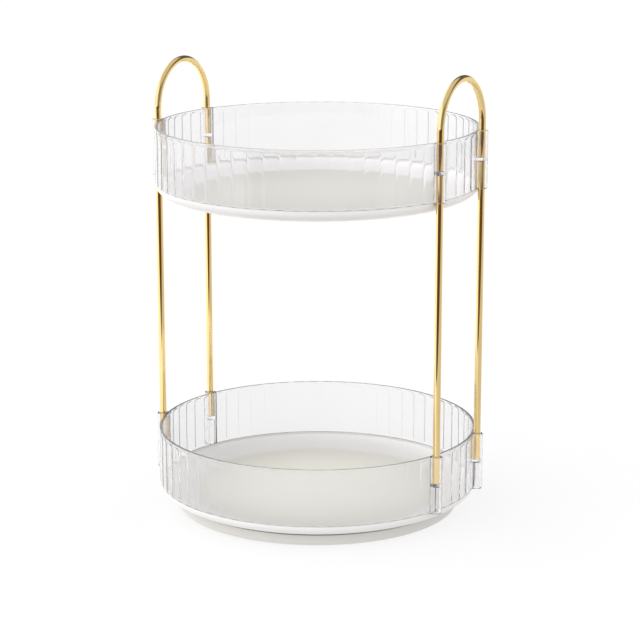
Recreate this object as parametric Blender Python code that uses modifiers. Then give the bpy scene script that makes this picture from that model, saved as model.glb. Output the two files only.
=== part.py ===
"""Two-tier rotating organiser: clear fluted trays on round posts over a ball-race base.

Metres, +Z up. The origin is on the spin axis, on the surface that the feet stand on.
The two carrying handles stand at +X and -X.
"""

import math

import bmesh
import bpy

MM = 0.001

# Overall
HEIGHT = 320 * MM  # table to the top of the handles
TRAY_R = 115 * MM  # crest of the flutes: trays are 230 mm across
TIER_PITCH = 218.6 * MM
STEPS = 60  # facets of a full turn on the large turned pieces

# Feet and base
FOOT_R = 6.0 * MM
FOOT_Z = (0.0, 1.7 * MM)
FOOT_CIRCLE_R = 88 * MM
FOOT_COUNT = 6
BASE_BOTTOM_Z = 1.0 * MM
BASE_FLOOR_Z = 3.8 * MM
BASE_TOP_Z = 8.0 * MM
BASE_R = 101.5 * MM
RECESS_GAP = 0.3 * MM

# Ball race
BALL_R = 2.0 * MM
BALL_COUNT = 10
RACE_R = 47 * MM
RACE_HALF_W = 4.4 * MM
BALL_Z = 6.3 * MM
GROOVE_R = 2.15 * MM
CAGE_T = 1.4 * MM
CAGE_POCKET_R = 2.3 * MM

# Pivot
HUB_R = 13 * MM
HUB_Z = (4.6 * MM, 6.9 * MM)
HUB_BORE_R = 3.6 * MM
SPIGOT_R = 3.2 * MM
SCREW_HOLE_R = 1.5 * MM
SCREW_SHANK_R = 1.2 * MM

# Tray plates, heights counted from the plate's own underside
PLATE_UNDER_Z = 8.7 * MM
PLATE_FLOOR = 3.2 * MM
PLATE_RIM = 10.2 * MM
FLOOR_FLAT_R = 90 * MM
UNDER_FLAT_R = 92 * MM
PLATE_IN_R = 112.2 * MM
PLATE_OUT_R = 114.4 * MM

# Fluted rings
RING_GAP = 0.3 * MM
RING_H = 40.4 * MM
RING_IN_R = 112.6 * MM
FLUTES = 64
FLUTE_DEPTH = 0.7 * MM
POINTS_PER_FLUTE = 3
BAND_H = 3.3 * MM  # smooth band above the flutes
SHOULDER_H = 0.9 * MM

# Sleeves on the rings, posts and handles
EAR_ANGLES = (16.2, 163.8, 196.2, 343.8)  # degrees from +X
EAR_CIRCLE_R = 117.2 * MM
EAR_R = 4.2 * MM
EAR_STEP = 0.3 * MM  # the sleeves stop this far short of the wall's two edges
EAR_HOLE_R = 2.8 * MM
EAR_HOLE_DEPTH = 19.0 * MM
ROD_R = 2.5 * MM
ROD_INSERT = 18.7 * MM

RING_LOW_Z = PLATE_UNDER_Z + PLATE_RIM + RING_GAP
RING_HIGH_Z = RING_LOW_Z + TIER_PITCH


def clear_scene():
    for obj in list(bpy.data.objects):
        bpy.data.objects.remove(obj, do_unlink=True)


def new_collection(name):
    collection = bpy.data.collections.new(name)
    bpy.context.scene.collection.children.link(collection)
    return collection


def plain_material(name, colour, roughness, metallic=0.0, transmission=0.0):
    material = bpy.data.materials.new(name)
    material.use_nodes = True
    shader = material.node_tree.nodes["Principled BSDF"]
    shader.inputs["Base Color"].default_value = (*colour, 1.0)
    shader.inputs["Roughness"].default_value = roughness
    shader.inputs["Metallic"].default_value = metallic
    shader.inputs["Transmission Weight"].default_value = transmission
    return material


def place(obj, collection, material=None, parent=None):
    for old in list(obj.users_collection):
        old.objects.unlink(obj)
    collection.objects.link(obj)
    if material is not None:
        obj.data.materials.clear()
        obj.data.materials.append(material)
    if parent is not None:
        obj.parent = parent
        obj.matrix_parent_inverse = parent.matrix_world.inverted()
    return obj


def smooth(obj, degrees=35):
    obj.data.shade_smooth()
    obj.data.set_sharp_from_angle(angle=math.radians(degrees))


def empty(name, location, collection, parent=None):
    obj = bpy.data.objects.new(name, None)
    obj.location = location
    obj.empty_display_size = 0.02
    collection.objects.link(obj)
    bpy.context.view_layer.update()
    if parent is not None:
        obj.parent = parent
        obj.matrix_parent_inverse = parent.matrix_world.inverted()
    bpy.context.view_layer.update()
    return obj


def turned(name, profile, closed, steps=STEPS):
    """A Screw of a profile of (radius, height) that runs down its outer side."""
    mesh = bpy.data.meshes.new(name)
    points = [(r, 0.0, z) for r, z in profile]
    edges = [(i, i + 1) for i in range(len(points) - 1)]
    if closed:
        edges.append((len(points) - 1, 0))
    mesh.from_pydata(points, edges, [])
    obj = bpy.data.objects.new(name, mesh)
    bpy.context.scene.collection.objects.link(obj)
    screw = obj.modifiers.new("Turn", "SCREW")
    screw.axis = "Z"
    screw.steps = steps
    screw.render_steps = steps
    screw.use_merge_vertices = True
    screw.merge_threshold = 1e-5
    screw.use_smooth_shade = False
    return obj


def cylinder(name, radius, z_low, z_high, x=0.0, y=0.0, sides=24):
    bpy.ops.mesh.primitive_cylinder_add(
        vertices=sides, radius=radius, depth=z_high - z_low, location=(x, y, (z_low + z_high) / 2)
    )
    obj = bpy.context.object
    obj.name = name
    return obj


def bevel(obj, width, segments=1):
    modifier = obj.modifiers.new("Bevel", "BEVEL")
    modifier.width = width
    modifier.segments = segments
    modifier.limit_method = "ANGLE"
    modifier.angle_limit = math.radians(40)
    return modifier


def boolean(obj, other, operation):
    modifier = obj.modifiers.new(f"{operation.title()} {other.name}", "BOOLEAN")
    modifier.operation = operation
    modifier.object = other
    modifier.solver = "EXACT"
    return modifier


def as_cutter(obj, cutters):
    place(obj, cutters)
    obj.hide_render = True
    obj.display_type = "WIRE"
    return obj


def on_circle(radius, degrees):
    return radius * math.cos(math.radians(degrees)), radius * math.sin(math.radians(degrees))


def quarter_sweep(r_flat, r_rim, z_flat, z_rim, count):
    """Points of a quarter ellipse that leaves a flat floor and ends upright at a rim."""
    points = []
    for i in range(count + 1):
        t = math.pi / 2 * i / count
        points.append((r_flat + (r_rim - r_flat) * math.sin(t), z_flat + (z_rim - z_flat) * (1 - math.cos(t))))
    return points


def groove(z_edge, outward, count=3):
    """Points of the race groove where the level z_edge cuts the ball path's circle."""
    rise = abs(z_edge - BALL_Z)
    half = math.acos(rise / GROOVE_R)
    sign = 1 if z_edge > BALL_Z else -1
    points = []
    for i in range(count + 1):
        t = -half + 2 * half * i / count
        points.append((RACE_R + GROOVE_R * math.sin(t), BALL_Z + sign * GROOVE_R * math.cos(t)))
    return points if outward else points[::-1]


def base_disc(collection, cutters, material):
    ridge_z = BALL_Z - 1.2 * MM
    profile = [
        (BASE_R - 0.7 * MM, BASE_TOP_Z),
        (BASE_R, BASE_TOP_Z - 0.7 * MM),
        (BASE_R, BASE_BOTTOM_Z + 2.4 * MM),
        (BASE_R - 0.5 * MM, BASE_BOTTOM_Z + 0.8 * MM),
        (BASE_R - 1.8 * MM, BASE_BOTTOM_Z),
        (HUB_R - 2.2 * MM, BASE_BOTTOM_Z),
        (HUB_R - 2.2 * MM, HUB_Z[0]),
        (HUB_BORE_R, HUB_Z[0]),
        (HUB_BORE_R, HUB_Z[1]),
        (HUB_R - 0.6 * MM, HUB_Z[1]),
        (HUB_R, HUB_Z[1] - 0.6 * MM),
        (HUB_R, BASE_FLOOR_Z),
        (RACE_R - RACE_HALF_W - 0.6 * MM, BASE_FLOOR_Z),
        (RACE_R - RACE_HALF_W, ridge_z),
        *groove(ridge_z, outward=True),
        (RACE_R + RACE_HALF_W, ridge_z),
        (RACE_R + RACE_HALF_W + 0.6 * MM, BASE_FLOOR_Z),
        (BASE_R - 4.6 * MM, BASE_FLOOR_Z),
        (BASE_R - 3.2 * MM, BASE_FLOOR_Z + 1.2 * MM),
        (BASE_R - 2.9 * MM, BASE_TOP_Z),
    ]
    obj = turned("base_disc", profile, closed=True)
    for i in range(FOOT_COUNT):
        x, y = on_circle(FOOT_CIRCLE_R, 30 + 360 / FOOT_COUNT * i)
        top = FOOT_Z[1] + RECESS_GAP
        cut = cylinder(f"cut_foot_{i + 1}", FOOT_R + RECESS_GAP, BASE_BOTTOM_Z - 1 * MM, top, x, y, 20)
        boolean(obj, as_cutter(cut, cutters), "DIFFERENCE")
    smooth(obj)
    return place(obj, collection, material)


def feet(collection, material, parent):
    for i in range(FOOT_COUNT):
        x, y = on_circle(FOOT_CIRCLE_R, 30 + 360 / FOOT_COUNT * i)
        obj = cylinder(f"foot_{i + 1}", FOOT_R, *FOOT_Z, x, y, 20)
        bevel(obj, 0.3 * MM)
        smooth(obj)
        place(obj, collection, material, parent)


def ball_cage(collection, material, parent):
    """A flat ring with a round pocket for each ball, cut from one flat outline."""
    curve = bpy.data.curves.new("ball_cage", "CURVE")
    curve.dimensions = "2D"
    curve.fill_mode = "BOTH"
    curve.extrude = CAGE_T / 2
    outlines = [(0.0, 0.0, RACE_R + 4.5 * MM, 60), (0.0, 0.0, RACE_R - 4.5 * MM, 60)]
    for i in range(BALL_COUNT):
        x, y = on_circle(RACE_R, 360 / BALL_COUNT * i)
        outlines.append((x, y, CAGE_POCKET_R, 12))
    for x, y, radius, count in outlines:
        spline = curve.splines.new("POLY")
        spline.points.add(count - 1)
        for k, point in enumerate(spline.points):
            dx, dy = on_circle(radius, 360 / count * k)
            point.co = (x + dx, y + dy, 0.0, 1.0)
        spline.use_cyclic_u = True
    outline = bpy.data.objects.new("ball_cage_outline", curve)
    bpy.context.scene.collection.objects.link(outline)
    bpy.context.view_layer.update()
    mesh = bpy.data.meshes.new_from_object(outline.evaluated_get(bpy.context.evaluated_depsgraph_get()))
    bpy.data.objects.remove(outline, do_unlink=True)
    work = bmesh.new()
    work.from_mesh(mesh)
    bmesh.ops.remove_doubles(work, verts=work.verts, dist=1e-6)
    bmesh.ops.recalc_face_normals(work, faces=work.faces)
    work.to_mesh(mesh)
    work.free()
    obj = bpy.data.objects.new("ball_cage", mesh)
    obj.location = (0.0, 0.0, BALL_Z)
    bpy.context.scene.collection.objects.link(obj)
    bpy.context.view_layer.update()
    smooth(obj)
    return place(obj, collection, material, parent)


def balls(collection, helpers, material, parent):
    """Each ball has its own centre as origin, and rolls about the radius through it."""
    for i in range(BALL_COUNT):
        x, y = on_circle(RACE_R, 360 / BALL_COUNT * i)
        axle = empty(f"axis_ball_{i + 1}", (x, y, BALL_Z), helpers, parent)
        bpy.ops.mesh.primitive_uv_sphere_add(segments=12, ring_count=8, radius=BALL_R, location=(x, y, BALL_Z))
        obj = bpy.context.object
        obj.name = f"ball_{i + 1}"
        obj.data.shade_smooth()
        place(obj, collection, material, axle)


def plate_profile(under_z):
    """The dish of a tray from its centre over the rim to the flat underside."""
    floor_z = under_z + PLATE_FLOOR
    rim_z = under_z + PLATE_RIM
    inside = quarter_sweep(FLOOR_FLAT_R, PLATE_IN_R, floor_z, rim_z - 0.9 * MM, 5)
    outside = quarter_sweep(UNDER_FLAT_R, PLATE_OUT_R, under_z, rim_z - 0.4 * MM, 5)
    rim = [(PLATE_IN_R + 0.2 * MM, rim_z), (PLATE_OUT_R - 0.2 * MM, rim_z)]
    return [(0.0, floor_z), *inside, *rim, *outside[::-1]]


def lower_plate(collection, material, parent):
    ridge_z = BALL_Z + 1.2 * MM
    profile = [
        *plate_profile(PLATE_UNDER_Z),
        (RACE_R + RACE_HALF_W + 0.6 * MM, PLATE_UNDER_Z),
        (RACE_R + RACE_HALF_W, ridge_z),
        *groove(ridge_z, outward=False),
        (RACE_R - RACE_HALF_W, ridge_z),
        (RACE_R - RACE_HALF_W - 0.6 * MM, PLATE_UNDER_Z),
        (SPIGOT_R, PLATE_UNDER_Z),
        (SPIGOT_R, HUB_Z[0]),
        (SCREW_HOLE_R, HUB_Z[0]),
        (SCREW_HOLE_R, PLATE_UNDER_Z + 1.6 * MM),
        (0.0, PLATE_UNDER_Z + 1.6 * MM),
    ]
    obj = turned("lower_plate", profile, closed=False)
    smooth(obj)
    return place(obj, collection, material, parent)


def upper_plate(collection, material, parent):
    under_z = PLATE_UNDER_Z + TIER_PITCH
    obj = turned("upper_plate", [*plate_profile(under_z), (0.0, under_z)], closed=False)
    smooth(obj)
    return place(obj, collection, material, parent)


def flute_radius(step):
    """Radius of the fluted outline: convex reeds that meet in sharp valleys."""
    phase = (step % POINTS_PER_FLUTE) / POINTS_PER_FLUTE
    return TRAY_R - FLUTE_DEPTH * (1 - math.sin(math.pi * phase))


def fluted_wall(name):
    """A loft from the fluted outline to the round band above it, with a round inner wall.

    Every flute has one facet of band and inner wall to its POINTS_PER_FLUTE facets.
    """
    flute_top = RING_H - BAND_H
    band_r = TRAY_R - FLUTE_DEPTH
    levels = [
        (POINTS_PER_FLUTE, flute_radius, 0.0),
        (POINTS_PER_FLUTE, flute_radius, flute_top - SHOULDER_H),
        (1, lambda step: band_r, flute_top),
        (1, lambda step: band_r, RING_H),
        (1, lambda step: RING_IN_R, RING_H),
        (1, lambda step: RING_IN_R, 0.0),
    ]
    work = bmesh.new()
    rings = []
    for per_flute, radius, z in levels:
        count = FLUTES * per_flute
        spots = [on_circle(radius(k), 360 / count * k) for k in range(count)]
        rings.append([work.verts.new((x, y, z)) for x, y in spots])
    for i, ring in enumerate(rings):
        after = rings[(i + 1) % len(rings)]
        for flute in range(FLUTES):
            sides = []
            for loop in (ring, after):
                per_flute = len(loop) // FLUTES
                sides.append([loop[(flute * per_flute + k) % len(loop)] for k in range(per_flute + 1)])
            work.faces.new((*sides[0], *sides[1][::-1]))
    long_faces = [face for face in work.faces if len(face.verts) > 4]
    bmesh.ops.triangulate(work, faces=long_faces)
    bmesh.ops.recalc_face_normals(work, faces=work.faces)
    mesh = bpy.data.meshes.new(name)
    work.to_mesh(mesh)
    work.free()
    obj = bpy.data.objects.new(name, mesh)
    bpy.context.scene.collection.objects.link(obj)
    return obj


def fluted_ring(name, bottom_z, collection, cutters, material, parent):
    """The clear wall of a tray with its four sleeves, each blind from above and below."""
    obj = fluted_wall(name)
    obj.location = (0.0, 0.0, bottom_z)
    bpy.context.view_layer.update()
    for i, angle in enumerate(EAR_ANGLES):
        x, y = on_circle(EAR_CIRCLE_R, angle)
        low, high = bottom_z + EAR_STEP, bottom_z + RING_H - EAR_STEP
        ear = cylinder(f"{name}_sleeve_{i + 1}", EAR_R, low, high, x, y, 20)
        boolean(obj, as_cutter(ear, cutters), "UNION")
    for i, angle in enumerate(EAR_ANGLES):
        x, y = on_circle(EAR_CIRCLE_R, angle)
        middle = bottom_z + RING_H / 2
        web = RING_H / 2 - EAR_HOLE_DEPTH
        reach = RING_H / 2 + 2 * MM
        low = cylinder(f"{name}_cut_low_{i + 1}", EAR_HOLE_R, middle - reach, middle - web, x, y, 16)
        high = cylinder(f"{name}_cut_high_{i + 1}", EAR_HOLE_R, middle + web, middle + reach, x, y, 16)
        boolean(obj, as_cutter(low, cutters), "DIFFERENCE")
        boolean(obj, as_cutter(high, cutters), "DIFFERENCE")
    smooth(obj, 25)
    return place(obj, collection, material, parent)


def posts(collection, material, parent):
    low = RING_LOW_Z + RING_H - ROD_INSERT
    high = RING_HIGH_Z + ROD_INSERT
    for i, angle in enumerate(EAR_ANGLES):
        x, y = on_circle(EAR_CIRCLE_R, angle)
        obj = cylinder(f"post_{i + 1}", ROD_R, low, high, x, y, 16)
        bevel(obj, 0.4 * MM)
        smooth(obj)
        place(obj, collection, material, parent)


def handle(name, side, collection, material, parent):
    """A round rod bent into an upturned U, its legs in the two sleeves of one side."""
    half_angle = math.radians(EAR_ANGLES[0])
    bend_r = EAR_CIRCLE_R * math.sin(half_angle)
    x = side * EAR_CIRCLE_R * math.cos(half_angle)
    bend_z = HEIGHT - ROD_R - bend_r
    foot_z = RING_HIGH_Z + RING_H - ROD_INSERT
    path = [(x, -bend_r, foot_z)]
    for i in range(21):
        t = math.pi * i / 20
        path.append((x, -bend_r * math.cos(t), bend_z + bend_r * math.sin(t)))
    path.append((x, bend_r, foot_z))
    curve = bpy.data.curves.new(name, "CURVE")
    curve.dimensions = "3D"
    curve.bevel_depth = ROD_R
    curve.bevel_resolution = 4
    curve.use_fill_caps = True
    spline = curve.splines.new("POLY")
    spline.points.add(len(path) - 1)
    for point, co in zip(spline.points, path):
        point.co = (*co, 1.0)
    obj = bpy.data.objects.new(name, curve)
    bpy.context.scene.collection.objects.link(obj)
    spline.use_smooth = True
    return place(obj, collection, material, parent)


def pivot_washer(collection, material, parent):
    profile = [(7.0 * MM, 4.3 * MM), (7.0 * MM, 3.7 * MM), (1.6 * MM, 3.7 * MM), (1.6 * MM, 4.3 * MM)]
    obj = turned("pivot_washer", profile, closed=True, steps=24)
    smooth(obj)
    return place(obj, collection, material, parent)


def pivot_screw(collection, cutters, material, parent):
    profile = [
        (0.0, PLATE_UNDER_Z + 1.3 * MM),
        (SCREW_SHANK_R - 0.4 * MM, PLATE_UNDER_Z + 1.3 * MM),
        (SCREW_SHANK_R, PLATE_UNDER_Z + 0.7 * MM),
        (SCREW_SHANK_R, 3.4 * MM),
        (3.2 * MM, 3.4 * MM),
        (3.2 * MM, 2.6 * MM),
        (2.5 * MM, 1.9 * MM),
        (0.0, 1.7 * MM),
    ]
    obj = turned("pivot_screw", profile, closed=False, steps=20)
    for i in range(2):
        bpy.ops.mesh.primitive_cube_add(size=1.0, location=(0.0, 0.0, 1.9 * MM))
        cut = bpy.context.object
        cut.name = f"cut_drive_{i + 1}"
        cut.scale = (3.6 * MM, 0.7 * MM, 1.6 * MM) if i == 0 else (0.7 * MM, 3.6 * MM, 1.6 * MM)
        bpy.ops.object.transform_apply(location=False, rotation=False, scale=True)
        boolean(obj, as_cutter(cut, cutters), "DIFFERENCE")
    smooth(obj)
    return place(obj, collection, material, parent)


def build():
    clear_scene()
    parts = new_collection("rotating_organiser")
    cutters = new_collection("cutters")
    axes = new_collection("axes")

    white = plain_material("white_plate", (0.84, 0.83, 0.80), 0.28)
    base_white = plain_material("base_white", (0.80, 0.79, 0.77), 0.4)
    clear = plain_material("clear_wall", (0.96, 0.97, 0.97), 0.05, transmission=1.0)
    gold = plain_material("gold_rod", (0.93, 0.70, 0.33), 0.12, metallic=1.0)
    steel = plain_material("bearing_steel", (0.75, 0.75, 0.76), 0.15, metallic=1.0)
    zinc = plain_material("zinc_screw", (0.62, 0.62, 0.60), 0.35, metallic=1.0)
    nylon = plain_material("cage_nylon", (0.72, 0.72, 0.68), 0.5)
    rubber = plain_material("foot_rubber", (0.10, 0.10, 0.10), 0.8)

    spin = empty("axis_turntable", (0.0, 0.0, PLATE_UNDER_Z), axes)
    cage_spin = empty("axis_ball_cage", (0.0, 0.0, BALL_Z), axes)

    base = base_disc(parts, cutters, base_white)
    feet(parts, rubber, base)
    ball_cage(parts, nylon, cage_spin)
    balls(parts, axes, steel, cage_spin)
    lower_plate(parts, white, spin)
    upper_plate(parts, white, spin)
    fluted_ring("lower_ring", RING_LOW_Z, parts, cutters, clear, spin)
    fluted_ring("upper_ring", RING_HIGH_Z, parts, cutters, clear, spin)
    posts(parts, gold, spin)
    handle("handle_right", 1, parts, gold, spin)
    handle("handle_left", -1, parts, gold, spin)
    pivot_washer(parts, zinc, spin)
    pivot_screw(parts, cutters, zinc, spin)


build()
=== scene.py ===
import math

import bmesh
import bpy
from mathutils import Matrix, Vector


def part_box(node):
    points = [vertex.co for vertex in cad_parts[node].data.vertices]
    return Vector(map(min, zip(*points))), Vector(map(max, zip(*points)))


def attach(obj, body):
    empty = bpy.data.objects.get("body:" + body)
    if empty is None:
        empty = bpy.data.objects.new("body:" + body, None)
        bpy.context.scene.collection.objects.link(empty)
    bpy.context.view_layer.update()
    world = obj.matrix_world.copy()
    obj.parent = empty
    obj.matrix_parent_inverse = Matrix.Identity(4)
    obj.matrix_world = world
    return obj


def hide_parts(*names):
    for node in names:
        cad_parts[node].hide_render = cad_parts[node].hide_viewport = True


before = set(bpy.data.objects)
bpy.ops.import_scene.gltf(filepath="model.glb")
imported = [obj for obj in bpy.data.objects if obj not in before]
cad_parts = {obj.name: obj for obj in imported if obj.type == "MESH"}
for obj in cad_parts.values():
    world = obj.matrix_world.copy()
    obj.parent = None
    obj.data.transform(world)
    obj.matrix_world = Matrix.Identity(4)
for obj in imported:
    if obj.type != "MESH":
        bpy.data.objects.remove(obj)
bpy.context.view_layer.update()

MM = 0.001

# ---------------------------------------------------------------- dimensions
FLUTES = 64
FLUTE_POINTS = 14
FLUTE_DEPTH = 0.35 * MM
FLUTE_FLATNESS = 8
TRAY_R = 115 * MM
WALL_IN_R = 112.6 * MM
BAND_H = 1.0 * MM
ARCH_H = 1.5 * MM
DOME_H = 0.9 * MM
END_LEVELS = 12
EDGE_R = 0.3 * MM
SEAM_EDGE_R = 0.12 * MM
SEAM_CLOSING = 0.22 * MM
BASE_LIP = 0.5 * MM
FLAT_MARGIN = 0.3 * MM  # a loop this near each rounded edge keeps the tall inner wall shaded flat
SLEEVE_ANGLES = (16.2, 163.8, 196.2, 343.8)
SLEEVE_CIRCLE_R = 117.2 * MM
SLEEVE_R = 4.2 * MM
SLEEVE_HOLE_R = 2.75 * MM
SLEEVE_HOLE_DEPTH = 19.0 * MM
SLEEVE_POINTS = 36
ROD_R = 2.5 * MM
PLATE_IN_R = 112.2 * MM
PLATE_OUT_R = 114.4 * MM
FLOOR_FLAT_R = 90 * MM
UNDER_FLAT_R = 92 * MM
PLATE_FLOOR = 3.2 * MM
PLATE_RIM = 10.2 * MM
RACE_R = 47 * MM
RACE_HALF_W = 4.4 * MM
GROOVE_R = 2.15 * MM
BALL_R = 2.0 * MM
BALL_COUNT = 10
TURN_STEPS = 192
SLEEVE_JOIN_R = TRAY_R - 0.6 * FLUTE_DEPTH
BASE_FLOOR_Z = 3.8 * MM
BASE_TOP_EDGE_R = 0.25 * MM
BASE_FOOT_EDGE_R = 2.2 * MM
HUB_R = 13.0 * MM
HUB_POCKET_R = 11.0 * MM
HUB_BORE_R = 3.6 * MM
HUB_LOW_Z = 4.6 * MM
HUB_HIGH_Z = 6.9 * MM
SPIGOT_R = 3.2 * MM
SCREW_HOLE_R = 1.5 * MM
FOOT_R = 6.0 * MM
FOOT_COUNT = 6
RECESS_R = 6.3 * MM
RECESS_TOP_Z = 2.0 * MM
CAGE_HALF_W = 4.5 * MM
CAGE_POCKET_R = 2.3 * MM


# ---------------------------------------------------------------- mesh helpers
def on_circle(radius, angle):
    return radius * math.cos(angle), radius * math.sin(angle)


def link(name, mesh, body, slot_name, material, *nodes, sharp=32):
    """A finished piece: shaded smooth, riding on its body and standing for its CAD nodes."""
    obj = bpy.data.objects.new(name, mesh)
    bpy.context.scene.collection.objects.link(obj)
    mesh.shade_smooth()
    mesh.set_sharp_from_angle(angle=math.radians(sharp))
    mesh.materials.clear()
    mesh.materials.append(material)
    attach(obj, body)
    if nodes:
        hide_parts(*nodes)
    return obj


def to_mesh(name, work):
    bmesh.ops.recalc_face_normals(work, faces=work.faces)
    mesh = bpy.data.meshes.new(name)
    work.to_mesh(mesh)
    work.free()
    return mesh


def rounded(points, segments=4):
    """A closed or open profile whose corners (r, z, fillet) are rounded by their third number."""
    out = []
    count = len(points)
    for i, (r, z, fillet) in enumerate(points):
        here = Vector((r, z))
        if fillet <= 0:
            out.append((r, z))
            continue
        before = Vector(points[(i - 1) % count][:2])
        after = Vector(points[(i + 1) % count][:2])
        u, v = (before - here).normalized(), (after - here).normalized()
        angle = u.angle(v)
        back = min(fillet / math.tan(angle / 2), (before - here).length * 0.49, (after - here).length * 0.49)
        start, end = here + u * back, here + v * back
        for k in range(segments + 1):
            t = k / segments
            point = start.lerp(here, t).lerp(here.lerp(end, t), t)
            out.append((point.x, point.y))
    return out


def lathe(name, profile, steps=TURN_STEPS, closed=False, centre=(0.0, 0.0)):
    """A profile of (radius, height) turned about +Z; a point at radius 0 becomes a pole."""
    work = bmesh.new()
    rings = []
    for r, z in profile:
        if r < 1e-7:
            rings.append([work.verts.new((centre[0], centre[1], z))])
            continue
        ring = []
        for k in range(steps):
            x, y = on_circle(r, 2 * math.pi * k / steps)
            ring.append(work.verts.new((centre[0] + x, centre[1] + y, z)))
        rings.append(ring)
    pairs = list(zip(rings, rings[1:]))
    if closed:
        pairs.append((rings[-1], rings[0]))
    for a, b in pairs:
        for k in range(steps):
            n = (k + 1) % steps
            corners = [a[k % len(a)], a[n % len(a)], b[n % len(b)], b[k % len(b)]]
            face = list(dict.fromkeys(corners))
            if len(face) > 2:
                work.faces.new(face)
    return to_mesh(name, work)


def cut(mesh, cutters):
    """The mesh with the cutter meshes taken out of it."""
    target = bpy.data.objects.new("cut_target", mesh)
    bpy.context.scene.collection.objects.link(target)
    tools = []
    for i, cutter in enumerate(cutters):
        tool = bpy.data.objects.new(f"cut_tool_{i}", cutter)
        bpy.context.scene.collection.objects.link(tool)
        modifier = target.modifiers.new("cut", "BOOLEAN")
        modifier.operation = "DIFFERENCE"
        modifier.solver = "EXACT"
        modifier.object = tool
        tools.append(tool)
    bpy.context.view_layer.update()
    evaluated = target.evaluated_get(bpy.context.evaluated_depsgraph_get())
    result = bpy.data.meshes.new_from_object(evaluated)
    result.name = mesh.name
    for obj in [*tools, target]:
        old = obj.data
        bpy.data.objects.remove(obj)
        bpy.data.meshes.remove(old)
    return result


def rod_profile(low, high, radius, edge):
    points = [(0.0, high, 0), (radius, high, edge), (radius, low, edge), (0.0, low, 0)]
    return rounded(points, 3)


def quarter_sweep(r_flat, r_rim, z_flat, z_rim, count):
    points = []
    for i in range(count + 1):
        t = math.pi / 2 * i / count
        r = r_flat + (r_rim - r_flat) * math.sin(t)
        points.append((r, z_flat + (z_rim - z_flat) * (1 - math.cos(t))))
    return points


# ---------------------------------------------------------------- material helpers
def math_node(tree, kind, *values):
    node = tree.nodes.new("ShaderNodeMath")
    node.operation = kind
    for socket, value in zip(node.inputs, values):
        if isinstance(value, (int, float)):
            socket.default_value = value
        else:
            tree.links.new(value, socket)
    return node.outputs["Value"]


def smooth_step(tree, value, low, high):
    node = tree.nodes.new("ShaderNodeMapRange")
    node.interpolation_type = "SMOOTHSTEP"
    node.inputs["From Min"].default_value = low
    node.inputs["From Max"].default_value = high
    tree.links.new(value, node.inputs["Value"])
    return node.outputs["Result"]


class Nodes:
    """A material's node tree with short calls for what the looks below share."""

    def __init__(self, name, colour, roughness, metallic=0.0):
        self.material = bpy.data.materials.new(name)
        self.material.use_nodes = True
        self.tree = self.material.node_tree
        self.shader = self.tree.nodes["Principled BSDF"]
        self.set("Base Color", (*colour, 1.0))
        self.set("Roughness", roughness)
        self.set("Metallic", metallic)
        self.place = self.tree.nodes.new("ShaderNodeTexCoord").outputs["Object"]

    def set(self, socket, value):
        self.shader.inputs[socket].default_value = value

    def stretched(self, scale):
        node = self.tree.nodes.new("ShaderNodeMapping")
        node.inputs["Scale"].default_value = scale
        self.tree.links.new(self.place, node.inputs["Vector"])
        return node.outputs["Vector"]

    def from_axis(self):
        flat = self.tree.nodes.new("ShaderNodeVectorMath")
        flat.operation = "MULTIPLY"
        flat.inputs[1].default_value = (1.0, 1.0, 0.0)
        self.tree.links.new(self.place, flat.inputs[0])
        length = self.tree.nodes.new("ShaderNodeVectorMath")
        length.operation = "LENGTH"
        self.tree.links.new(flat.outputs["Vector"], length.inputs[0])
        return length.outputs["Value"]

    def noise(self, scale, detail=2.0, vector=None):
        node = self.tree.nodes.new("ShaderNodeTexNoise")
        node.inputs["Scale"].default_value = scale
        node.inputs["Detail"].default_value = detail
        self.tree.links.new(vector or self.place, node.inputs["Vector"])
        return node.outputs["Fac"]

    def ramp(self, fac, low, high, colours):
        node = self.tree.nodes.new("ShaderNodeValToRGB")
        node.color_ramp.elements[0].position = low
        node.color_ramp.elements[1].position = high
        for element, colour in zip(node.color_ramp.elements, colours):
            element.color = (*colour, 1.0)
        self.tree.links.new(fac, node.inputs["Fac"])
        return node.outputs["Color"]

    def spread(self, fac, low, high):
        node = self.tree.nodes.new("ShaderNodeMapRange")
        node.inputs["To Min"].default_value = low
        node.inputs["To Max"].default_value = high
        self.tree.links.new(fac, node.inputs["Value"])
        return node.outputs["Result"]

    def join(self, output, socket):
        self.tree.links.new(output, self.shader.inputs[socket])

    def bump(self, height, distance, strength=1.0):
        node = self.tree.nodes.new("ShaderNodeBump")
        node.inputs["Distance"].default_value = distance
        node.inputs["Strength"].default_value = strength
        self.tree.links.new(height, node.inputs["Height"])
        self.join(node.outputs["Normal"], "Normal")


def clear_plastic(name, clearness):
    """Polished clear plastic; what is missing from a clearness of 1 is a faint milkiness."""
    look = Nodes(name, (0.957, 0.952, 0.96), 0.02)
    look.set("Transmission Weight", clearness)
    look.set("IOR", 1.42)
    tint = look.noise(14.0, 1.0)
    look.join(look.ramp(tint, 0.3, 0.7, ((0.95, 0.945, 0.955), (0.965, 0.96, 0.965))), "Base Color")
    look.bump(look.noise(90.0, 2.0), 0.00002)
    return look.material


def blend_colours(tree, fac, low, high):
    mix = tree.nodes.new("ShaderNodeMix")
    mix.data_type = "RGBA"
    tree.links.new(fac, mix.inputs["Factor"])
    for socket, value in ((mix.inputs["A"], low), (mix.inputs["B"], high)):
        if isinstance(value, tuple):
            socket.default_value = (*value, 1.0)
        else:
            tree.links.new(value, socket)
    return mix.outputs["Result"]


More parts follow.
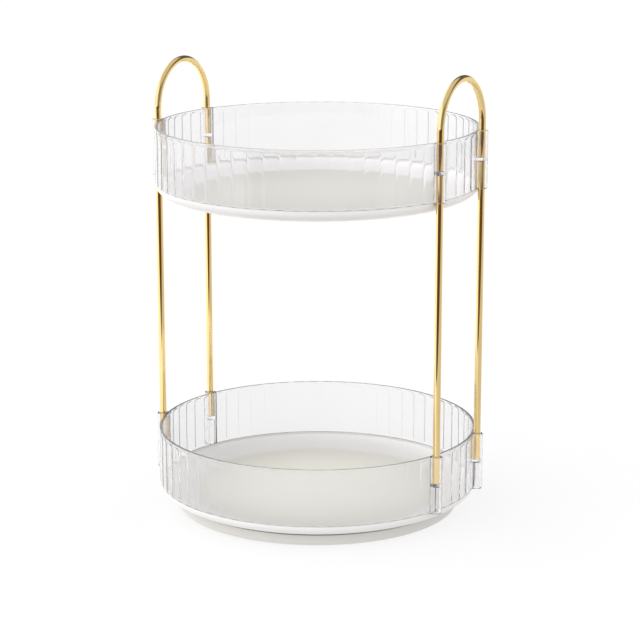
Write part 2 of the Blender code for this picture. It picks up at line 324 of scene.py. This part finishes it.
def white_plastic(name, colour, roughness, painted_floor_shade=None, painted_underside_shade=None):
    """Milk-white plastic with painted shade: a tray's flat floor is painted darker and warmer than its
    rounded edge, and faces that turn sideways or down are painted greyer.
    """
    look = Nodes(name, colour, roughness)
    shade = look.noise(22.0, 3.0)
    darker = tuple(c * 0.985 for c in colour)
    surface = look.ramp(shade, 0.35, 0.65, (darker, colour))
    if painted_floor_shade:
        # Painted shade: the flat floor gets a darker, warmer colour than the rounded edge, standing in for
        # the edge catching more light.
        on_edge = smooth_step(look.tree, look.from_axis(), FLOOR_FLAT_R - 4 * MM, FLOOR_FLAT_R + 6 * MM)
        surface = blend_colours(look.tree, on_edge, painted_floor_shade, surface)
    # Painted shade: faces turned sideways or down get a greyer colour, standing in for the light they miss.
    if painted_underside_shade:
        normal = look.tree.nodes.new("ShaderNodeNewGeometry").outputs["Normal"]
        split = look.tree.nodes.new("ShaderNodeSeparateXYZ")
        look.tree.links.new(normal, split.inputs["Vector"])
        faces_up = smooth_step(look.tree, split.outputs["Z"], 0.1, 0.4)
        surface = blend_colours(look.tree, faces_up, painted_underside_shade, surface)
    look.join(surface, "Base Color")
    look.join(look.spread(look.noise(160.0, 2.0), roughness - 0.05, roughness + 0.05), "Roughness")
    look.bump(look.noise(900.0, 1.0), 0.00001)
    return look.material


def gold_plating():
    look = Nodes("gold_plating", (0.94, 0.71, 0.34), 0.1, 1.0)
    shade = look.noise(60.0, 2.0)
    look.join(look.ramp(shade, 0.3, 0.7, ((0.93, 0.69, 0.32), (0.95, 0.73, 0.36))), "Base Color")
    lines = look.noise(700.0, 2.0, look.stretched((1.0, 1.0, 0.04)))
    look.join(look.spread(lines, 0.04, 0.075), "Roughness")
    look.bump(lines, 0.0000006)
    return look.material


def metal(name, colour, roughness, grain):
    look = Nodes(name, colour, roughness, 1.0)
    darker = tuple(c * 0.9 for c in colour)
    marks = look.noise(grain, 3.0)
    look.join(look.ramp(marks, 0.3, 0.7, (darker, colour)), "Base Color")
    look.join(look.spread(marks, roughness * 0.7, roughness * 1.3), "Roughness")
    return look.material


def moulded(name, colour, roughness, grain, depth):
    look = Nodes(name, colour, roughness)
    marks = look.noise(grain, 3.0)
    lighter = tuple(min(1.0, c * 1.12) for c in colour)
    look.join(look.ramp(marks, 0.35, 0.65, (colour, lighter)), "Base Color")
    look.join(look.spread(marks, roughness - 0.08, roughness + 0.08), "Roughness")
    look.bump(marks, depth)
    return look.material


CLEAR = clear_plastic("clear_plastic", 0.90)
CLEAR_SLEEVE = clear_plastic("clear_plastic_sleeve", 0.98)
# Painted shade for the trays' flat floors, darker and warmer than their rounded edges.
PLATE_FLOOR_PAINTED_SHADE = (0.675, 0.665, 0.605)
# Painted shade for the trays' sideways and downward faces.
PLATE_UNDERSIDE_PAINTED_SHADE = (0.67, 0.66, 0.65)
PLATE_ROUGHNESS = 0.3
# Painted light and shade: the upper tray is a lighter copy of the same white as the lower one, which lies in
# the upper tray's shade.
LOWER_WHITE_SHADED_COPY = white_plastic(
    "milk_white_lower_painted_shade", (0.79, 0.78, 0.775), PLATE_ROUGHNESS, PLATE_FLOOR_PAINTED_SHADE, PLATE_UNDERSIDE_PAINTED_SHADE
)
UPPER_WHITE_LIT_COPY = white_plastic(
    "milk_white_upper_painted_light", (0.92, 0.91, 0.91), PLATE_ROUGHNESS, PLATE_FLOOR_PAINTED_SHADE, PLATE_UNDERSIDE_PAINTED_SHADE
)
# A greyer white, darkened further as painted shade for the shade the base sits in under the trays.
BASE_WHITE_PAINTED_SHADE = white_plastic("base_white_plastic_painted_shade", (0.55, 0.535, 0.51), 0.38)
GOLD = gold_plating()
STEEL = metal("ball_steel", (0.78, 0.78, 0.79), 0.08, 300.0)
ZINC = metal("zinc_plating", (0.66, 0.66, 0.63), 0.32, 500.0)
NYLON = moulded("cage_nylon_grain", (0.70, 0.70, 0.66), 0.5, 500.0, 0.00002)
RUBBER = moulded("foot_rubber_grain", (0.035, 0.035, 0.035), 0.8, 900.0, 0.00006)


# ---------------------------------------------------------------- clear walls
def reed(phase):
    """Height share of a reed across its width: 0 in the narrow valleys at 0 and 1, near 1 between them."""
    return 1 - abs(2 * phase - 1) ** FLUTE_FLATNESS


def reed_phases():
    """Where a reed is sampled, closest together towards its valleys."""
    return [(1 - math.cos(math.pi * k / FLUTE_POINTS)) / 2 for k in range(FLUTE_POINTS)]


def reed_end(phase, from_band):
    """Share of a reed's height near its top end, which is arched: highest in the middle of the reed."""
    below_arch = from_band - ARCH_H * (2 * phase - 1) ** 2
    share = min(1.0, max(0.0, below_arch / DOME_H))
    return share * share * (3 - 2 * share)


def wall_outline(from_band, from_seam, shrink):
    """Outer and inner outline of the wall with its sleeves, as matching lists of points."""
    valley_r = TRAY_R - FLUTE_DEPTH - shrink
    sleeve_r = SLEEVE_R - shrink
    join_r = SLEEVE_JOIN_R - shrink
    cos_b = (join_r**2 - SLEEVE_CIRCLE_R**2 - sleeve_r**2) / (2 * SLEEVE_CIRCLE_R * sleeve_r)
    half_b = math.acos(cos_b)
    fixed_b = math.acos(
        (SLEEVE_JOIN_R**2 - SLEEVE_CIRCLE_R**2 - SLEEVE_R**2) / (2 * SLEEVE_CIRCLE_R * SLEEVE_R)
    )
    neck = math.asin(SLEEVE_R * math.sin(fixed_b) / SLEEVE_JOIN_R)
    pitch = 2 * math.pi / FLUTES
    margin = 0.3 * MM / TRAY_R
    outer, inner = [], []
    for i, degrees in enumerate(SLEEVE_ANGLES):
        angle = math.radians(degrees)
        after = math.radians(SLEEVE_ANGLES[(i + 1) % 4] + (360 if i == 3 else 0))
        cx, cy = on_circle(SLEEVE_CIRCLE_R, angle)
        for k in range(SLEEVE_POINTS + 1):
            share = 2 * k / SLEEVE_POINTS - 1
            dx, dy = on_circle(sleeve_r, angle + share * half_b)
            outer.append((cx + dx, cy + dy))
            inner.append(angle + share * neck)
        for flute in range(math.floor(angle / pitch), math.ceil(after / pitch)):
            for phase in reed_phases():
                turn = (flute + phase) * pitch
                if angle + neck + margin < turn < after - neck - margin:
                    ends = min(reed_end(phase, from_band), reed_end(phase, from_seam))
                    height = FLUTE_DEPTH * reed(phase) * ends
                    outer.append(on_circle(valley_r + height, turn))
                    inner.append(turn)
    return outer, inner


def clear_ring(name):
    """A fluted wall with four sleeves, each with a blind hole from above and one from below."""
    low, high = (corner.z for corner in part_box(name))
    low -= SEAM_CLOSING
    band_z, foot_z = high - BAND_H, low + SEAM_EDGE_R
    reach = ARCH_H + DOME_H
    levels = []
    for k in range(3):
        t = math.pi / 2 * k / 2
        levels.append((low + SEAM_EDGE_R * (1 - math.cos(t)), SEAM_EDGE_R * (1 - math.sin(t))))
    levels += [(foot_z + reach * k / END_LEVELS, 0.0) for k in range(1, END_LEVELS + 1)]
    levels += [(band_z - reach * (1 - k / END_LEVELS), 0.0) for k in range(END_LEVELS + 1)]
    for k in range(4):
        t = math.pi / 2 * k / 3
        levels.append((high - EDGE_R + EDGE_R * math.sin(t), EDGE_R * (1 - math.cos(t))))
    work = bmesh.new()
    rings = []
    for z, shrink in levels:
        outer = wall_outline(band_z - z, z - foot_z, shrink)[0]
        rings.append([work.verts.new((x, y, z)) for x, y in outer])
    angles = wall_outline(0.0, 0.0, 0.0)[1]
    for z, grow in (
        (high, EDGE_R),
        (high - EDGE_R * 0.3, EDGE_R * 0.3),
        (high - EDGE_R, 0.0),
        (high - EDGE_R - FLAT_MARGIN, 0.0),
        (low + SEAM_EDGE_R + FLAT_MARGIN, 0.0),
        (low + SEAM_EDGE_R, 0.0),
        (low, SEAM_EDGE_R),
    ):
        rings.append([work.verts.new((*on_circle(WALL_IN_R + grow, a), z)) for a in angles])
    count = len(angles)
    for i, ring in enumerate(rings):
        after = rings[(i + 1) % len(rings)]
        for k in range(count):
            n = (k + 1) % count
            work.faces.new((ring[k], ring[n], after[n], after[k]))
    mesh = to_mesh(name + "_fine", work)
    cutters = []
    middle = (low + SEAM_CLOSING + high) / 2
    web = (high - low - SEAM_CLOSING) / 2 - SLEEVE_HOLE_DEPTH
    for i, degrees in enumerate(SLEEVE_ANGLES):
        x, y = on_circle(SLEEVE_CIRCLE_R, math.radians(degrees))
        for side in (-1, 1):
            near, far = middle + side * web, middle + side * (high - low)
            mouth = high if side > 0 else low
            chamfer = 0.35 * MM
            profile = [
                (0.0, near - side * 0.3 * MM),
                (SLEEVE_HOLE_R, near),
                (SLEEVE_HOLE_R, mouth - side * chamfer),
                (SLEEVE_HOLE_R + chamfer, mouth),
                (SLEEVE_HOLE_R + chamfer, far),
                (0.0, far),
            ]
            cutters.append(lathe(f"hole_{i}_{side}", profile, 40, centre=(x, y)))
    piece = link(name + "_fine", cut(mesh, cutters), "turntable", "clear_wall", CLEAR, name, sharp=38)
    piece.data.materials.append(CLEAR_SLEEVE)
    centres = [Vector(on_circle(SLEEVE_CIRCLE_R, math.radians(degrees))) for degrees in SLEEVE_ANGLES]
    for polygon in piece.data.polygons:
        distance = min((polygon.center.xy - centre).length for centre in centres)
        polygon.material_index = int(distance < SLEEVE_R + 0.2 * MM)


# ---------------------------------------------------------------- plates and base
def dish_profile(under_z):
    """Half section of a tray plate from its centre over the rim to the underside."""
    floor_z, rim_z = under_z + PLATE_FLOOR, under_z + PLATE_RIM
    inside = quarter_sweep(FLOOR_FLAT_R, PLATE_IN_R, floor_z, rim_z - 0.8 * MM, 24)
    outside = quarter_sweep(UNDER_FLAT_R, PLATE_OUT_R, under_z, rim_z - 0.5 * MM, 24)
    rim = rounded(
        [
            (*inside[-1], 0),
            (PLATE_IN_R + 0.05 * MM, rim_z, 0.15 * MM),
            (PLATE_OUT_R, rim_z, 0.15 * MM),
            (*outside[-1], 0),
        ],
        4,
    )[1:-1]
    return [(0.0, floor_z), *inside, *rim, *outside[::-1]]


def groove(z_edge, ball_z, outward, count=14):
    half = math.acos(abs(z_edge - ball_z) / GROOVE_R)
    sign = 1 if z_edge > ball_z else -1
    points = []
    for i in range(count + 1):
        t = -half + 2 * half * i / count
        points.append((RACE_R + GROOVE_R * math.sin(t), ball_z + sign * GROOVE_R * math.cos(t)))
    return points if outward else points[::-1]


def plates():
    """Both trays; the lower one carries the upper half of the ball race and the pivot spigot."""
    ball_z = sum(corner.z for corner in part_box("ball_1")) / 2
    under_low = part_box("upper_plate")[0].z - (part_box("upper_ring")[0].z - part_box("lower_ring")[0].z)
    under_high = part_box("upper_plate")[0].z
    spigot_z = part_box("lower_plate")[0].z
    ridge_z = ball_z + 1.2 * MM
    small = 0.4 * MM
    tail = rounded(
        [
            (RACE_R + RACE_HALF_W + 1.4 * MM, under_low, 0),
            (RACE_R + RACE_HALF_W + 0.6 * MM, under_low, small),
            (RACE_R + RACE_HALF_W, ridge_z, small),
            (RACE_R + RACE_HALF_W - 1.6 * MM, ridge_z, 0),
        ]
    )
    tail += groove(ridge_z, ball_z, outward=False)
    tail += rounded(
        [
            (RACE_R - RACE_HALF_W + 1.6 * MM, ridge_z, 0),
            (RACE_R - RACE_HALF_W, ridge_z, small),
            (RACE_R - RACE_HALF_W - 0.6 * MM, under_low, small),
            (RACE_R - RACE_HALF_W - 1.4 * MM, under_low, 0),
            (SPIGOT_R, under_low, small),
            (SPIGOT_R, spigot_z, 0.3 * MM),
            (SCREW_HOLE_R, spigot_z, 0.2 * MM),
            (SCREW_HOLE_R, under_low + 1.6 * MM, 0),
            (0.0, under_low + 1.6 * MM, 0),
        ]
    )
    low = lathe("lower_plate_fine", [*dish_profile(under_low), *tail])
    link("lower_plate_fine", low, "turntable", "white_plate", LOWER_WHITE_SHADED_COPY, "lower_plate")
    high = lathe("upper_plate_fine", [*dish_profile(under_high), (0.0, under_high)])
    link("upper_plate_fine", high, "turntable", "white_plate", UPPER_WHITE_LIT_COPY, "upper_plate")


def base():
    """The standing disc: hub with its bore, lower half of the ball race, six recesses for the feet."""
    ball_z = sum(corner.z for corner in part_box("ball_1")) / 2
    low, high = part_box("base_disc")
    bottom, top, radius = low.z, high.z + BASE_LIP, high.x
    floor_z = BASE_FLOOR_Z
    ridge_z = ball_z - 1.2 * MM
    edge = 0.35 * MM
    profile = rounded(
        [
            (radius, top, BASE_TOP_EDGE_R),
            (radius, bottom, BASE_FOOT_EDGE_R),
            (HUB_POCKET_R, bottom, edge),
            (HUB_POCKET_R, HUB_LOW_Z, 0),
            (HUB_BORE_R, HUB_LOW_Z, 0),
            (HUB_BORE_R, HUB_HIGH_Z, 0.2 * MM),
            (HUB_R, HUB_HIGH_Z, 0.6 * MM),
            (HUB_R, floor_z, 0.5 * MM),
            (RACE_R - RACE_HALF_W - 0.6 * MM, floor_z, edge),
            (RACE_R - RACE_HALF_W, ridge_z, edge),
            (RACE_R - RACE_HALF_W + 1.6 * MM, ridge_z, 0),
        ],
        6,
    )
    profile += groove(ridge_z, ball_z, outward=True)
    profile += rounded(
        [
            (RACE_R + RACE_HALF_W - 1.6 * MM, ridge_z, 0),
            (RACE_R + RACE_HALF_W, ridge_z, edge),
            (RACE_R + RACE_HALF_W + 0.6 * MM, floor_z, edge),
            (radius - 4.4 * MM, floor_z, 0.8 * MM),
            (radius - 2.9 * MM, top, 0.3 * MM),
            (radius - 2.0 * MM, top, 0),
        ],
        6,
    )
    mesh = lathe("base_disc_fine", profile, closed=True)
    cutters = []
    for i in range(FOOT_COUNT):
        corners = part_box(f"foot_{i + 1}")
        x, y = ((corners[0][k] + corners[1][k]) / 2 for k in (0, 1))
        deep, below = RECESS_TOP_Z, bottom - MM
        shape = [(0.0, deep), (RECESS_R, deep), (RECESS_R, below), (0.0, below)]
        cutters.append(lathe(f"recess_{i}", shape, 48, centre=(x, y)))
    link("base_disc_fine", cut(mesh, cutters), "base", "base_white", BASE_WHITE_PAINTED_SHADE, "base_disc")


def feet():
    """Round pads with two shallow ring grooves underneath."""
    for i in range(FOOT_COUNT):
        low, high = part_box(f"foot_{i + 1}")
        x, y = (low.x + high.x) / 2, (low.y + high.y) / 2
        points = [(0.0, high.z, 0), (FOOT_R, high.z, 0.2 * MM), (FOOT_R, low.z, 0.5 * MM)]
        rings = []
        for groove_r in (4.4 * MM, 2.8 * MM):
            rings += [
                (groove_r + 0.35 * MM, low.z, 0),
                (groove_r, low.z + 0.25 * MM, 0.1 * MM),
                (groove_r - 0.35 * MM, low.z, 0),
            ]
        mesh = lathe(f"foot_{i + 1}_fine", rounded([*points, *rings, (0.0, low.z, 0)]), 48, centre=(x, y))
        link(f"foot_{i + 1}_fine", mesh, "base", "foot_rubber", RUBBER, f"foot_{i + 1}")


# ---------------------------------------------------------------- rods
def posts():
    for i in range(4):
        low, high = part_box(f"post_{i + 1}")
        x, y = (low.x + high.x) / 2, (low.y + high.y) / 2
        profile = rod_profile(low.z, high.z, ROD_R, 0.4 * MM)
        mesh = lathe(f"post_{i + 1}_fine", profile, 64, centre=(x, y))
        link(f"post_{i + 1}_fine", mesh, "turntable", "gold_rod", GOLD, f"post_{i + 1}")


def handle(name):
    """A rod swept along an upturned U, with its two cut ends slightly rounded."""
    low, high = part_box(name)
    x = (low.x + high.x) / 2
    bend_r = (high.y - low.y) / 2 - ROD_R
    bend_z = high.z - ROD_R - bend_r
    foot = low.z
    edge = 0.4 * MM
    path = [(-bend_r, foot, 0.0, ROD_R - edge), (-bend_r, foot + edge * 0.3, 0.0, ROD_R - edge * 0.3)]
    path += [(-bend_r, foot + edge, 0.0, ROD_R), (-bend_r, (foot + bend_z) / 2, 0.0, ROD_R)]
    for i in range(73):
        t = math.pi * i / 72
        path.append((-bend_r * math.cos(t), bend_z + bend_r * math.sin(t), t, ROD_R))
    path += [(-y, z, math.pi, r) for y, z, t, r in path[3::-1]]
    work = bmesh.new()
    rings = []
    sides = 48
    for y, z, turn, radius in path:
        across = Vector((0.0, -math.cos(turn), math.sin(turn)))
        ring = []
        for k in range(sides):
            a = 2 * math.pi * k / sides
            sideways = Vector((1, 0, 0)) * radius * math.cos(a)
            ring.append(work.verts.new(Vector((x, y, z)) + sideways + across * radius * math.sin(a)))
        rings.append(ring)
    for a, b in zip(rings, rings[1:]):
        for k in range(sides):
            n = (k + 1) % sides
            work.faces.new((a[k], a[n], b[n], b[k]))
    work.faces.new(rings[0])
    work.faces.new(rings[-1])
    link(name + "_fine", to_mesh(name + "_fine", work), "turntable", "gold_rod", GOLD, name)


# ---------------------------------------------------------------- bearing and pivot
def bearing():
    """The ball cage with its pockets, and the balls."""
    low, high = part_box("ball_cage")
    edge = 0.25 * MM
    inner, outer = RACE_R - CAGE_HALF_W, RACE_R + CAGE_HALF_W
    corners = [(outer, high.z), (outer, low.z), (inner, low.z), (inner, high.z)]
    profile = rounded([(*corner, edge) for corner in corners])
    mesh = lathe("ball_cage_fine", profile, closed=True)
    cutters = []
    for i in range(BALL_COUNT):
        x, y = on_circle(RACE_R, 2 * math.pi * i / BALL_COUNT)
        above, below = high.z + MM, low.z - MM
        shape = [(0.0, above), (CAGE_POCKET_R, above), (CAGE_POCKET_R, below), (0.0, below)]
        cutters.append(lathe(f"pocket_{i}", shape, 40, centre=(x, y)))
    link("ball_cage_fine", cut(mesh, cutters), "ball_cage", "cage_nylon", NYLON, "ball_cage")
    for i in range(BALL_COUNT):
        low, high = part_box(f"ball_{i + 1}")
        work = bmesh.new()
        bmesh.ops.create_icosphere(work, subdivisions=4, radius=BALL_R)
        bmesh.ops.translate(work, verts=work.verts, vec=(low + high) / 2)
        mesh = to_mesh(f"ball_{i + 1}_fine", work)
        link(f"ball_{i + 1}_fine", mesh, f"ball_{i + 1}", "bearing_steel", STEEL, f"ball_{i + 1}")


def pivot():
    """The washer, and the screw that holds the turning part down, with a cross drive."""
    low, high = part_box("pivot_washer")
    edge = 0.12 * MM
    shape = [(7 * MM, high.z, edge), (7 * MM, low.z, edge), (1.6 * MM, low.z, edge), (1.6 * MM, high.z, edge)]
    mesh = lathe("pivot_washer_fine", rounded(shape), 96, closed=True)
    link("pivot_washer_fine", mesh, "turntable", "zinc_screw", ZINC, "pivot_washer")
    low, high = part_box("pivot_screw")
    head_z, under_z = low.z, 3.4 * MM
    profile = [(0.0, high.z, 0), (0.7 * MM, high.z, 0), (1.15 * MM, high.z - 0.9 * MM, 0.1 * MM)]
    z = high.z - 1.2 * MM
    while z > under_z + 1.2 * MM:
        profile += [(1.2 * MM, z, 0), (0.95 * MM, z - 0.25 * MM, 0)]
        z -= 0.5 * MM
    profile += [(1.2 * MM, under_z + 0.5 * MM, 0.1 * MM), (1.2 * MM, under_z, 0)]
    profile += [(3.2 * MM, under_z, 0.15 * MM), (3.2 * MM, head_z + 0.9 * MM, 0.3 * MM)]
    profile += [(2.5 * MM, head_z + 0.2 * MM, 0.3 * MM), (0.0, head_z, 0)]
    mesh = lathe("pivot_screw_fine", rounded(profile, 3), 64)
    cutters = []
    for turn in (0, 1):
        work = bmesh.new()
        bmesh.ops.create_cube(work, size=1.0)
        sizes = (3.6 * MM, 0.7 * MM) if turn == 0 else (0.7 * MM, 3.6 * MM)
        bmesh.ops.scale(work, verts=work.verts, vec=(*sizes, 1.6 * MM))
        bmesh.ops.translate(work, verts=work.verts, vec=(0, 0, head_z + 0.2 * MM))
        cutters.append(to_mesh(f"drive_{turn}", work))
    link("pivot_screw_fine", cut(mesh, cutters), "turntable", "zinc_screw", ZINC, "pivot_screw")


clear_ring("upper_ring")
clear_ring("lower_ring")
plates()
base()
feet()
posts()
handle("handle_right")
handle("handle_left")
bearing()
pivot()


# ---------------------------------------------------------------- camera
VIEW_TURN = math.radians(29.4)
VIEW_RISE = math.radians(13.72)
VIEW_DISTANCE = 1.5734
AIM_Z = 0.1364
AIM_RIGHT = 0.0018
LENS = 123.06

toward = Vector((math.sin(VIEW_TURN), -math.cos(VIEW_TURN), 0.0))
to_right = Vector((math.cos(VIEW_TURN), math.sin(VIEW_TURN), 0.0))
camera_data = bpy.data.cameras.new("camera")
camera_data.lens = LENS
camera_data.sensor_width = 36.0
camera_data.clip_start = 0.05
camera_data.clip_end = 60.0
camera = bpy.data.objects.new("camera", camera_data)
bpy.context.scene.collection.objects.link(camera)
eye_z = AIM_Z + VIEW_DISTANCE * math.sin(VIEW_RISE)
eye = toward * (VIEW_DISTANCE * math.cos(VIEW_RISE)) + Vector((0, 0, eye_z))
aim = Vector((0, 0, AIM_Z)) + to_right * AIM_RIGHT
camera.location = eye
camera.rotation_euler = (aim - eye).to_track_quat("-Z", "Y").to_euler()
bpy.context.scene.camera = camera


# ---------------------------------------------------------------- stage
def stage_plane(name, across, away, z, material):
    """A level rectangle over two ranges of metres, to the right of and away from the camera."""
    mesh = bpy.data.meshes.new(name)
    corners = [(across[i], away[j], z) for i, j in ((0, 0), (1, 0), (1, 1), (0, 1))]
    mesh.from_pydata(corners, [], [(0, 1, 2, 3)])
    mesh.materials.append(material)
    obj = bpy.data.objects.new(name, mesh)
    obj.rotation_euler = (0.0, 0.0, VIEW_TURN)
    bpy.context.scene.collection.objects.link(obj)
    return obj


def floor_material():
    """White paper lit from below as well as above, so that the object leaves only a faint shadow on it."""
    look = Nodes("studio_floor", (0.16, 0.16, 0.16), 0.9)
    look.set("Specular IOR Level", 0.0)
    look.set("Emission Color", (1.0, 1.0, 1.0, 1.0))
    look.set("Emission Strength", 0.79)
    greys = ((0.155, 0.155, 0.155), (0.165, 0.165, 0.165))
    look.join(look.ramp(look.noise(3.0), 0.3, 0.7, greys), "Base Color")
    return look.material


def reflector_material():
    """What polished surfaces mirror below the horizon: a lit table whose front edge ends in a dark room."""
    material = bpy.data.materials.new("studio_reflections")
    material.use_nodes = True
    tree = material.node_tree
    tree.nodes.clear()
    coords = tree.nodes.new("ShaderNodeTexCoord").outputs["Object"]
    split = tree.nodes.new("ShaderNodeSeparateXYZ")
    tree.links.new(coords, split.inputs["Vector"])
    across, away = split.outputs["X"], split.outputs["Y"]
    front = math_node(tree, "MULTIPLY", away, -1.0)
    edge = math_node(tree, "SUBTRACT", front, math_node(tree, "MULTIPLY_ADD", across, 0.7, 0.38))
    beyond = smooth_step(tree, edge, 0.0, 0.08)
    from_left = math_node(tree, "MULTIPLY_ADD", front, 1.2, across)
    from_right = math_node(tree, "SUBTRACT", math_node(tree, "MULTIPLY", front, 1.15), across)
    inside = math_node(
        tree, "MULTIPLY", smooth_step(tree, from_left, 0.0, 0.35), smooth_step(tree, from_right, 0.0, 0.45)
    )
    dark = math_node(tree, "MULTIPLY", beyond, inside)
    lit = tree.nodes.new("ShaderNodeMapRange")
    lit.inputs["To Min"].default_value = 1.25
    lit.inputs["To Max"].default_value = 0.70
    sideways = math_node(tree, "MULTIPLY_ADD", front, 0.35, across)
    tree.links.new(smooth_step(tree, sideways, -0.1, 0.3), lit.inputs["Value"])
    behind = math_node(tree, "MULTIPLY", smooth_step(tree, away, 0.0, 0.4), 0.2)
    table_level = math_node(tree, "ADD", lit.outputs["Result"], behind)
    shades = []
    for colour, strength in (((1.0, 0.99, 0.97), table_level), ((0.11, 0.06, 0.035), 1.0)):
        emission = tree.nodes.new("ShaderNodeEmission")
        emission.inputs["Color"].default_value = (*colour, 1.0)
        if isinstance(strength, float):
            emission.inputs["Strength"].default_value = strength
        else:
            tree.links.new(strength, emission.inputs["Strength"])
        shades.append(emission.outputs["Emission"])
    mix = tree.nodes.new("ShaderNodeMixShader")
    tree.links.new(dark, mix.inputs["Fac"])
    tree.links.new(shades[0], mix.inputs[1])
    tree.links.new(shades[1], mix.inputs[2])
    # Light that came straight through clear plastic, with no reflection on the way, passes to the floor.
    path = tree.nodes.new("ShaderNodeLightPath").outputs
    unreflected = math_node(tree, "LESS_THAN", path["Glossy Depth"], 0.5)
    see_through = math_node(tree, "MULTIPLY", path["Is Transmission Ray"], unreflected)
    passing = tree.nodes.new("ShaderNodeMixShader")
    tree.links.new(see_through, passing.inputs["Fac"])
    tree.links.new(mix.outputs["Shader"], passing.inputs[1])
    tree.links.new(tree.nodes.new("ShaderNodeBsdfTransparent").outputs["BSDF"], passing.inputs[2])
    output = tree.nodes.new("ShaderNodeOutputMaterial")
    tree.links.new(passing.outputs["Shader"], output.inputs["Surface"])
    return material


def only_in_reflections(obj, through_plastic):
    """Hides a plane from the camera, from matt surfaces and from shadows."""
    obj.visible_camera = False
    obj.visible_diffuse = False
    obj.visible_transmission = through_plastic
    obj.visible_volume_scatter = False
    obj.visible_shadow = False


STAGE_REACH = 20.0
REFLECTOR_SPLIT = -0.25  # metres away from the camera, counted from the object's axis
REFLECTOR_Z = 0.0004
EVERYWHERE = (-STAGE_REACH, STAGE_REACH)
stage_plane("studio_floor", EVERYWHERE, EVERYWHERE, 0.0, floor_material())
REFLECTIONS = reflector_material()
near = (-STAGE_REACH, REFLECTOR_SPLIT)
far = (REFLECTOR_SPLIT, STAGE_REACH)
near_side = stage_plane("studio_reflector_front", EVERYWHERE, near, REFLECTOR_Z, REFLECTIONS)
far_side = stage_plane("studio_reflector_back", EVERYWHERE, far, REFLECTOR_Z, REFLECTIONS)
only_in_reflections(near_side, True)
only_in_reflections(far_side, False)


SOFTBOX_LEVEL = 2.5
FILL_LEVEL = 1.4
BACK_LEVEL = 0.12
CEILING_LEVEL = 0.65
BACKDROP_LEVEL = 1.0
MIRRORED_SOFTBOX = 1.3
MIRRORED_FRONT = 0.27
MIRRORED_RIGHT = 0.53
MIRRORED_REAR = 0.12
MIRRORED_REAR_LOW = 0.7
MIRRORED_CEILING = 0.7


def studio_world():
    """A softbox on the left and a fill on the right lighting matt surfaces.

    Gloss, and rays that pass clear plastic, get a different room that is dark in front and behind.
    """
    world = bpy.data.worlds.new("studio")
    bpy.context.scene.world = world
    world.use_nodes = True
    tree = world.node_tree
    tree.nodes.clear()
    coords = tree.nodes.new("ShaderNodeTexCoord").outputs["Generated"]
    split = tree.nodes.new("ShaderNodeSeparateXYZ")
    tree.links.new(coords, split.inputs["Vector"])
    up = split.outputs["Z"]

    def share(direction, low, high):
        dot = tree.nodes.new("ShaderNodeVectorMath")
        dot.operation = "DOT_PRODUCT"
        dot.inputs[1].default_value = direction
        tree.links.new(coords, dot.inputs[0])
        return smooth_step(tree, dot.outputs["Value"], low, high)

    def blend(fac, low, high):
        node = tree.nodes.new("ShaderNodeMix")
        tree.links.new(fac, node.inputs["Factor"])
        for socket, value in ((node.inputs["A"], low), (node.inputs["B"], high)):
            if isinstance(value, (int, float)):
                socket.default_value = value
            else:
                tree.links.new(value, socket)
        return node.outputs["Result"]

    def background(level):
        node = tree.nodes.new("ShaderNodeBackground")
        node.inputs["Color"].default_value = (1.0, 1.0, 1.0, 1.0)
        if isinstance(level, float):
            node.inputs["Strength"].default_value = level
        else:
            tree.links.new(level, node.inputs["Strength"])
        return node.outputs["Background"]

    def choose(fac, low, high):
        node = tree.nodes.new("ShaderNodeMixShader")
        tree.links.new(fac, node.inputs["Fac"])
        tree.links.new(low, node.inputs[1])
        tree.links.new(high, node.inputs[2])
        return node.outputs["Shader"]

    lighting = blend(share(-to_right, 0.0, 0.45), FILL_LEVEL, SOFTBOX_LEVEL)
    lighting = blend(share(-toward, 0.72, 0.86), lighting, BACK_LEVEL)
    lighting = blend(smooth_step(tree, up, 0.84, 0.90), lighting, CEILING_LEVEL)
    lighting = blend(smooth_step(tree, up, 0.07, 0.12), BACKDROP_LEVEL, lighting)

    right = blend(share(to_right, 0.65, 0.95), MIRRORED_FRONT, MIRRORED_RIGHT)
    rear = blend(smooth_step(tree, up, 0.15, 0.30), MIRRORED_REAR_LOW, MIRRORED_REAR)
    mirrored = blend(share(toward, -0.25, 0.2), rear, right)
    mirrored = blend(share(-to_right, 0.05, 0.5), mirrored, MIRRORED_SOFTBOX)
    mirrored = blend(smooth_step(tree, up, 0.60, 0.80), mirrored, MIRRORED_CEILING)
    room = math_node(tree, "MAXIMUM", smooth_step(tree, up, 0.07, 0.12), share(toward, 0.0, 0.2))
    mirrored = blend(room, BACKDROP_LEVEL, mirrored)

    path = tree.nodes.new("ShaderNodeLightPath").outputs
    is_mirrored = math_node(tree, "MAXIMUM", path["Is Glossy Ray"], path["Is Transmission Ray"])
    shader = choose(is_mirrored, background(lighting), background(mirrored))
    shader = choose(path["Is Camera Ray"], shader, background(1.0))
    output = tree.nodes.new("ShaderNodeOutputWorld")
    tree.links.new(shader, output.inputs["Surface"])


studio_world()
scene = bpy.context.scene
scene.view_settings.view_transform = "Standard"
scene.view_settings.look = "None"
